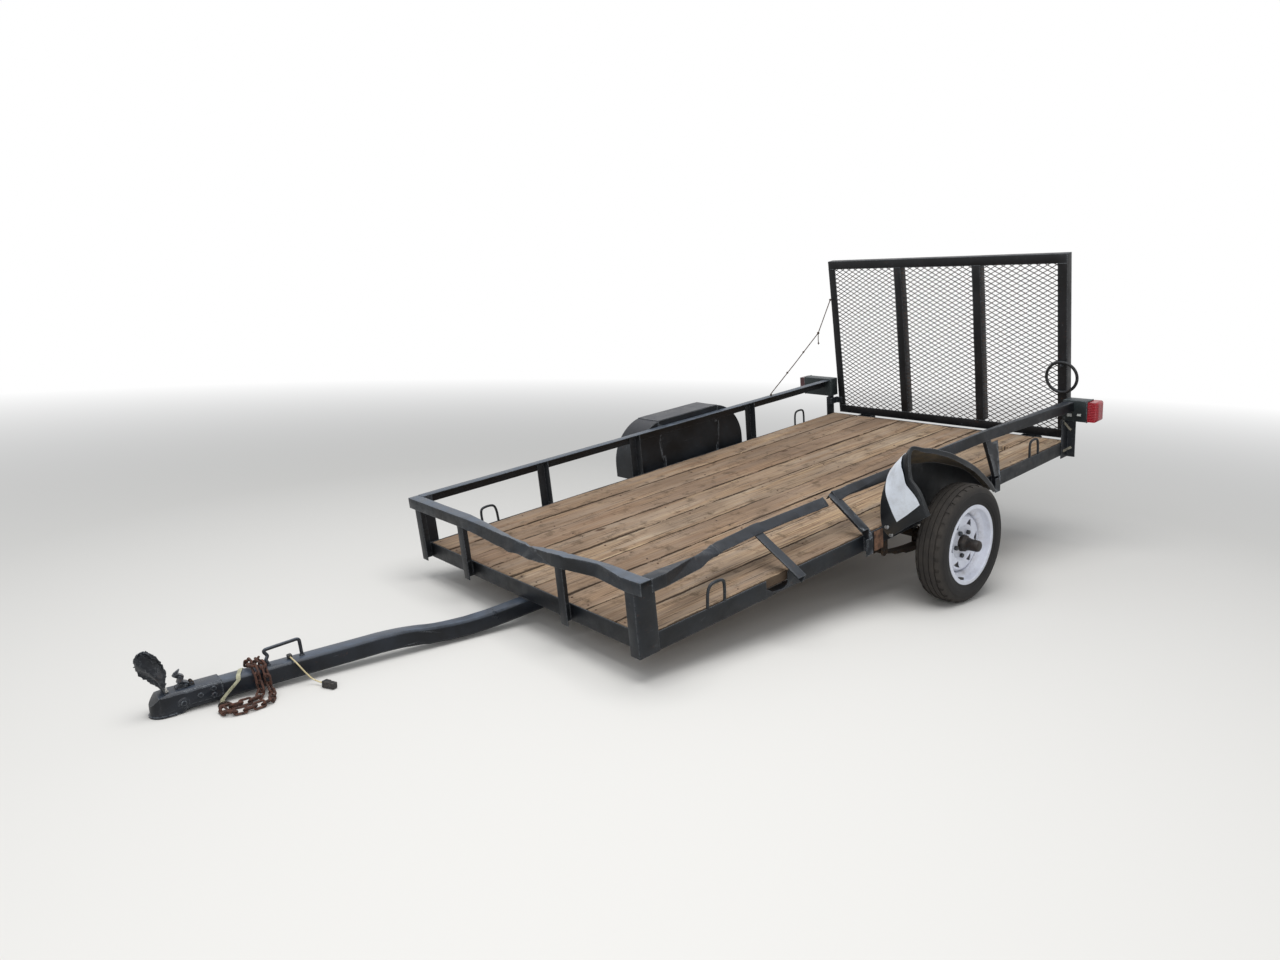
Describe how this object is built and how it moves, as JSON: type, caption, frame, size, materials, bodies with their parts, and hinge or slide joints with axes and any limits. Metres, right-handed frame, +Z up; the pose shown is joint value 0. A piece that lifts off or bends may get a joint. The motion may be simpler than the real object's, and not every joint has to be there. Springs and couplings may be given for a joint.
{
  "type": "utility trailer",
  "caption": "Open single-axle utility trailer with plank deck, angle-iron rails, mesh ramp gate, drawbar and coupler, bent on its left side.",
  "frame": {"origin": "centre of the footprint's bounding box, on the ground as the trailer stands parked on its tyres and coupler", "axes": "+X from the ramp gate towards the coupler, +Y to the trailer's left, +Z up; the chassis leans nose down by 7.88 degrees"},
  "size_m": [4.516, 2.096, 1.5906],
  "materials": {
    "black_paint": "worn satin black paint with dust and rust",
    "weathered_wood": "weathered grey-tan boards",
    "tyre_rubber": "dusty rubber",
    "white_wheel_paint": "white enamel",
    "black_hub": "greasy black",
    "zinc_nuts": "dull zinc",
    "dirty_steel": "dirty underbody black",
    "lamp_box_paint": "scuffed dark green-grey",
    "red_lens": "gloss",
    "brown_rope": "dirty cord",
    "pale_webbing": "dirty webbing",
    "coupler_paint": "worn black with rust",
    "rusty_steel": "rust",
    "black_cable": "matt"
  },
  "bodies": {
    "chassis": {"side_frame_left": "black_paint", "side_frame_right": "black_paint", "front_frame": "black_paint", "rear_frame": "black_paint", "cross_members": "black_paint", "deck_planks": "weathered_wood", "posts_right": "black_paint", "posts_front": "black_paint", "posts_corner": "black_paint", "post_bent_front": "black_paint", "post_bent_middle": "black_paint", "post_bent_rear": "black_paint", "posts_rear": "black_paint", "rail_right": "black_paint", "rail_front": "black_paint", "rail_left_rear": "black_paint", "rail_left_front": "black_paint", "tie_loops": "black_paint", "axle": "dirty_steel", "spring_left": "dirty_steel", "spring_right": "dirty_steel", "spring_hangers": "dirty_steel", "axle_clamps": "dirty_steel", "fender_left": "black_paint", "fender_right": "black_paint", "tongue": "black_paint", "coupler": "coupler_paint", "coupler_latch": "coupler_paint", "coupler_torn_lip": "coupler_paint", "tongue_handle": "black_paint", "safety_chain": "rusty_steel", "drawbar_strap": "pale_webbing", "strap_ring": "dirty_steel", "lead_clip": "black_cable", "lead_plug": "black_cable", "wiring_lead": "black_cable", "lamp_box_left": "lamp_box_paint", "lamp_lens_left": "red_lens", "lamp_box_right": "lamp_box_paint", "lamp_lens_right": "red_lens", "hinge_lugs": "black_paint"},
    "left_wheel": {"rim_left": "white_wheel_paint", "hub_left": "black_hub", "wheel_nuts_left": "zinc_nuts", "tyre_left": "tyre_rubber"},
    "right_wheel": {"rim_right": "white_wheel_paint", "hub_right": "black_hub", "wheel_nuts_right": "zinc_nuts", "tyre_right": "tyre_rubber"},
    "gate": {"gate_frame": "black_paint", "gate_bars": "black_paint", "gate_mesh": "black_paint", "gate_ring": "black_paint", "gate_rope": "brown_rope"}
  },
  "joints": [
    {"name": "left_wheel_spin", "type": "hinge", "parent": "chassis", "child": "left_wheel", "pos_m": [-0.85319, 0.948, 0.26809], "axis": [0, 1, 0], "continuous": true},
    {"name": "right_wheel_spin", "type": "hinge", "parent": "chassis", "child": "right_wheel", "pos_m": [-0.85319, -0.944, 0.26809], "axis": [0, 1, 0], "continuous": true},
    {"name": "gate_hinge", "type": "hinge", "parent": "chassis", "child": "gate", "pos_m": [-2.23474, 0.002, 0.58541], "axis": [0, -1, 0], "range_deg": [0, 134]}
  ]
}
